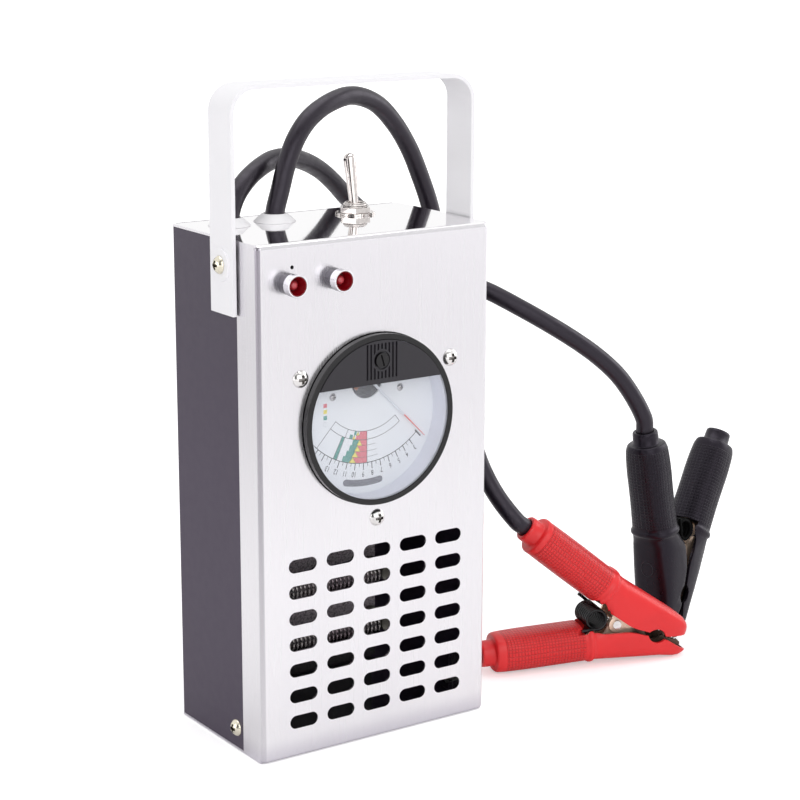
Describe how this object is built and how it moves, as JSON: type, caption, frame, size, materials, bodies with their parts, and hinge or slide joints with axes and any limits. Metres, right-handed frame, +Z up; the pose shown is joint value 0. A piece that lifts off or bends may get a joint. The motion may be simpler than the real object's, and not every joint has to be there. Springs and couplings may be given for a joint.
{
  "type": "battery load tester",
  "caption": "Hand-held battery load tester: bright sheet case with panel meter, indicator lamps, load switch, carrying bail and long cables ending in spring clamps",
  "frame": {"origin": "centre of the case's underside, on the bench", "axes": "+X to the right seen from the front, -Y out of the front with the meter, +Z up"},
  "size_m": [0.351, 0.1292, 0.32],
  "materials": {
    "polished_steel": "bright, finely brushed steel sheet",
    "violet_black_paint": "dark charcoal paint with a violet cast, satin",
    "white_paint": "white paint, satin",
    "white_fibre": "matt",
    "zinc_screw": "yellowish zinc plate",
    "zinc_dark": "plain zinc plate",
    "nickel": "bright nickel plate",
    "chrome": "mirror chrome",
    "black_plastic": "moulded, slight sheen",
    "white_plastic": "smooth",
    "dial_white": "printed matt",
    "clear_window": "clear acrylic",
    "red_paint": "thin red paint",
    "red_plastic": "gloss",
    "red_lens": "clear red, gloss",
    "copper_wire": "enamelled copper",
    "dark_steel": "ground steel",
    "brass": "turned brass",
    "black_steel": "blackened spring wire",
    "resistance_wire": "oxidised alloy wire",
    "heat_board": "grey grainy heat-proof board",
    "laminate": "phenolic laminate",
    "pale_rubber": "soft pale grey rubber",
    "cable_black": "soft gloss jacket",
    "red_lead": "thin insulation",
    "red_sleeve": "soft vinyl, satin",
    "black_sleeve": "soft vinyl, satin",
    "jaw_copper": "copper-plated steel"
  },
  "bodies": {
    "case": {"front_cover": "polished_steel", "rear_shell": "violet_black_paint", "case_screws": "zinc_screw", "case_nuts": "zinc_dark", "handle_screws": "zinc_screw", "handle_washers": "white_fibre", "meter_case": "black_plastic", "meter_liner": "white_plastic", "meter_window": "clear_window", "meter_cap": "black_plastic", "dial_plate": "dial_white", "dial_screws": "nickel", "pivot_bridge": "nickel", "magnet_yoke": "dark_steel", "meter_studs": "brass", "meter_screws": "nickel", "meter_screw_nuts": "nickel", "led_bezels": "chrome", "led_reflectors": "red_plastic", "leds": "red_lens", "led_nuts": "nickel", "switch_body": "black_plastic", "switch_bushing": "nickel", "switch_washer": "nickel", "switch_nut": "nickel", "switch_terminals": "brass", "grommets": "pale_rubber", "cable_red": "cable_black", "cable_black": "cable_black", "cable_lugs": "jaw_copper", "terminal_board": "laminate", "board_spacers": "nickel", "terminal_studs": "brass", "element_bracket": "zinc_dark", "element_board": "heat_board", "coil_bolts": "nickel", "resistor_coils": "resistance_wire", "load_leads": "cable_black", "meter_leads": "red_lead", "led_leads": "red_lead", "red_cable_grip": "red_sleeve", "red_cable_jaw": "jaw_copper", "red_spring": "black_steel", "red_rivet": "nickel", "black_cable_grip": "black_sleeve", "black_cable_jaw": "jaw_copper", "black_spring": "black_steel", "black_rivet": "nickel"},
    "handle": {"handle": "white_paint"},
    "lever": {"switch_lever": "nickel"},
    "movement": {"needle": "red_paint", "moving_coil": "copper_wire"},
    "adjuster": {"zero_adjuster": "black_plastic"},
    "red_free_half": {"red_free_grip": "red_sleeve", "red_free_jaw": "jaw_copper"},
    "black_free_half": {"black_free_grip": "black_sleeve", "black_free_jaw": "jaw_copper"}
  },
  "joints": [
    {"name": "handle_hinge", "type": "hinge", "parent": "case", "child": "handle", "pos_m": [0, -0.013, 0.238], "axis": [1, 0, 0], "range_deg": [0, 145]},
    {"name": "lever_hinge", "type": "hinge", "parent": "case", "child": "lever", "pos_m": [0.025, 0.017, 0.249], "axis": [1, 0, 0], "range_deg": [0, 20], "stiffness_Nm_per_rad": 0.3, "springref_deg": -8.59},
    {"name": "needle_hinge", "type": "hinge", "parent": "case", "child": "movement", "pos_m": [0, -0.031, 0.1796], "axis": [0, 1, 0], "range_deg": [0, 90], "stiffness_Nm_per_rad": 0.0002, "springref_deg": -17.19},
    {"name": "adjuster_hinge", "type": "hinge", "parent": "case", "child": "adjuster", "pos_m": [0, -0.044, 0.1905], "axis": [0, 1, 0], "range_deg": [-60, 60]},
    {"name": "red_clamp_hinge", "type": "hinge", "parent": "case", "child": "red_free_half", "pos_m": [0.16588, -0.01914, 0.02168], "axis": [0.2874, 0.9578, 0], "range_deg": [0, 28], "stiffness_Nm_per_rad": 1.5, "springref_deg": -17.19},
    {"name": "black_clamp_hinge", "type": "hinge", "parent": "case", "child": "black_free_half", "pos_m": [0.22662, 0.00236, 0.04514], "axis": [0.2304, -0.9715, 0.0551], "range_deg": [0, 28], "stiffness_Nm_per_rad": 1.5, "springref_deg": -17.19}
  ]
}
